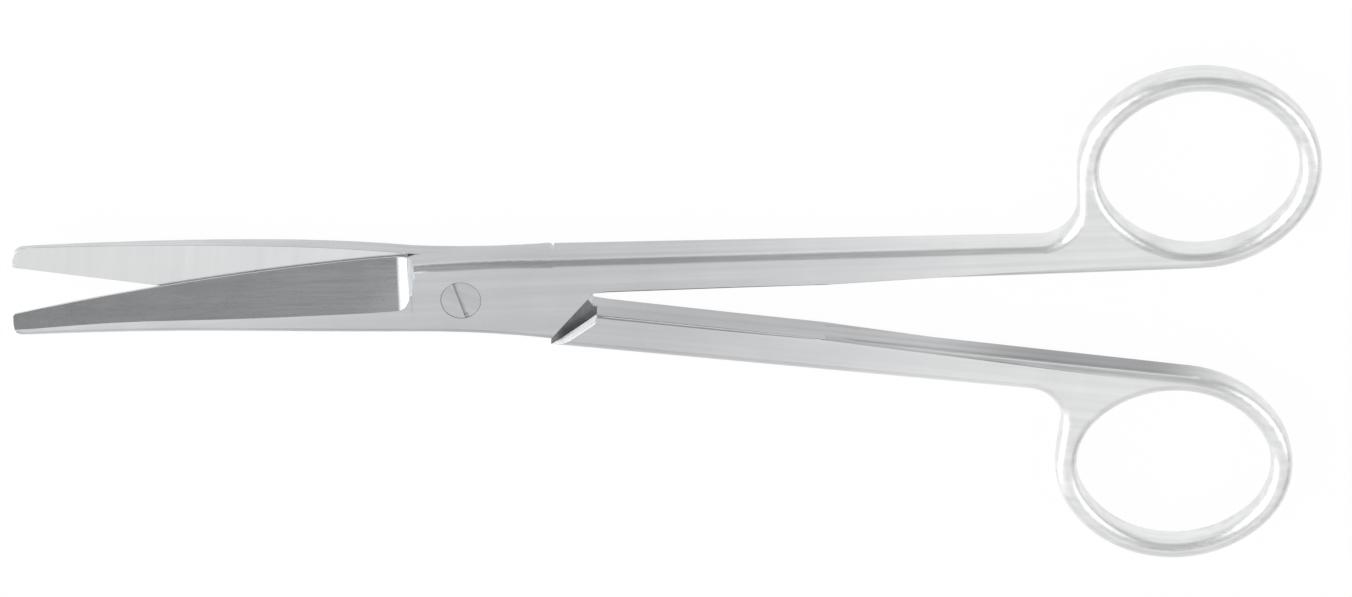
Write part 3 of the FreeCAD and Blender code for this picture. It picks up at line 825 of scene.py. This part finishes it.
def pale_floor(height, color):
    """Lay a plain matt floor that the camera and the steel see as nearly white."""
    mesh = bpy.data.meshes.new("studio_floor")
    shape = bmesh.new()
    bmesh.ops.create_grid(shape, x_segments=1, y_segments=1, size=FLOOR_REACH,
                          matrix=Matrix.Translation((0, 0, height)))
    shape.to_mesh(mesh)
    shape.free()
    material = bpy.data.materials.new("plain_pale_floor")
    material.use_nodes = True
    tree = material.node_tree
    surface = tree.nodes["Principled BSDF"]
    surface.inputs["Base Color"].default_value = (*color, 1.0)
    surface.inputs["Roughness"].default_value = 0.9
    surface.inputs["Specular IOR Level"].default_value = 0.1
    shown = seen_white(tree, surface.outputs[0], FLOOR_WHITENESS)
    tree.links.new(shown, tree.nodes["Material Output"].inputs["Surface"])
    mesh.materials.append(material)
    floor = bpy.data.objects.new("studio_floor", mesh)
    bpy.context.scene.collection.objects.link(floor)


def soft_world(strength):
    """Light the scissors evenly from all sides."""
    world = bpy.data.worlds.new("soft_world")
    world.use_nodes = True
    tree = world.node_tree
    background = tree.nodes["Background"]
    background.inputs["Color"].default_value = (1, 1, 1, 1)
    background.inputs["Strength"].default_value = strength
    bpy.context.scene.world = world


def place_camera(studio):
    """Look at the scissors from the slotted side, tips to the left, as in the photograph."""
    lean, roll = studio.camera_lean, studio.camera_roll
    back = Vector((0, -math.sin(lean), math.cos(lean)))
    level_right = Vector((-1, 0, 0))
    level_up = back.cross(level_right)
    right = level_right * math.cos(roll) + level_up * math.sin(roll)
    up = back.cross(right)
    pivot = Vector((0, 0, MID_HEIGHT))
    target = pivot + right * studio.middle_across - up * studio.middle_down
    data = bpy.data.cameras.new("studio_camera")
    data.lens = data.sensor_width * studio.camera_distance / studio.picture_width
    data.clip_start, data.clip_end = 0.01, 20
    camera = bpy.data.objects.new("studio_camera", data)
    bpy.context.scene.collection.objects.link(camera)
    camera.matrix_world = Matrix((
        (right.x, up.x, back.x, target.x + back.x * studio.camera_distance),
        (right.y, up.y, back.y, target.y + back.y * studio.camera_distance),
        (right.z, up.z, back.z, target.z + back.z * studio.camera_distance),
        (0, 0, 0, 1)))
    bpy.context.scene.camera = camera


class SCISSORS_OT_set_stage(bpy.types.Operator):
    """Lay the floor, hang the soft lamps and place the camera"""
    bl_idname = "scissors.set_stage"
    bl_label = "Studio"

    def execute(self, context):
        studio = context.scene.studio_setup
        pale_floor(CAD_BOX[0].z - FLOOR_GAP, studio.floor_color)
        middle = (CAD_BOX[0] + CAD_BOX[1]) / 2
        for name, spec in LAMPS.items():
            studio_lamp(name, spec, middle)
        soft_world(studio.soft_light)
        place_camera(studio)
        context.scene.view_settings.view_transform = "Standard"
        return {"FINISHED"}


class SCISSORS_PT_panel(bpy.types.Panel):
    """Sidebar panel with one button for each piece and for the studio"""
    bl_idname = "SCISSORS_PT_panel"
    bl_label = "Dissecting Scissors"
    bl_space_type = "VIEW_3D"
    bl_region_type = "UI"
    bl_category = "Scissors"

    def draw(self, context):
        for name in GROUPS:
            group = getattr(context.scene, name)
            box = self.layout.box()
            box.label(text=group.bl_rna.description)
            for prop in group.bl_rna.properties:
                if prop.identifier not in ("rna_type", "name"):
                    box.prop(group, prop.identifier)
        for operator in OPERATORS:
            self.layout.operator(operator.bl_idname)


GROUPS = {"steel_finish": SteelFinish, "screw_sizes": ScrewSizes, "studio_setup": StudioSetup}
OPERATORS = (SCISSORS_OT_make_halves, SCISSORS_OT_make_pivot_screw, SCISSORS_OT_set_stage)


def register():
    for group in GROUPS.values():
        bpy.utils.register_class(group)
    for operator in OPERATORS:
        bpy.utils.register_class(operator)
    bpy.utils.register_class(SCISSORS_PT_panel)
    for name, group in GROUPS.items():
        setattr(bpy.types.Scene, name, bpy.props.PointerProperty(type=group))


def unregister():
    for name in GROUPS:
        delattr(bpy.types.Scene, name)
    bpy.utils.unregister_class(SCISSORS_PT_panel)
    for operator in reversed(OPERATORS):
        bpy.utils.unregister_class(operator)
    for group in reversed(GROUPS.values()):
        bpy.utils.unregister_class(group)


def main():
    """Build the shared shader groups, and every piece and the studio."""
    register()
    grind_lines_group()
    handling_group()
    polish_and_sheen_group()
    painted_shade_group()
    bpy.ops.scissors.make_halves()
    bpy.ops.scissors.make_pivot_screw()
    bpy.ops.scissors.set_stage()


if __name__ == "__main__":
    main()
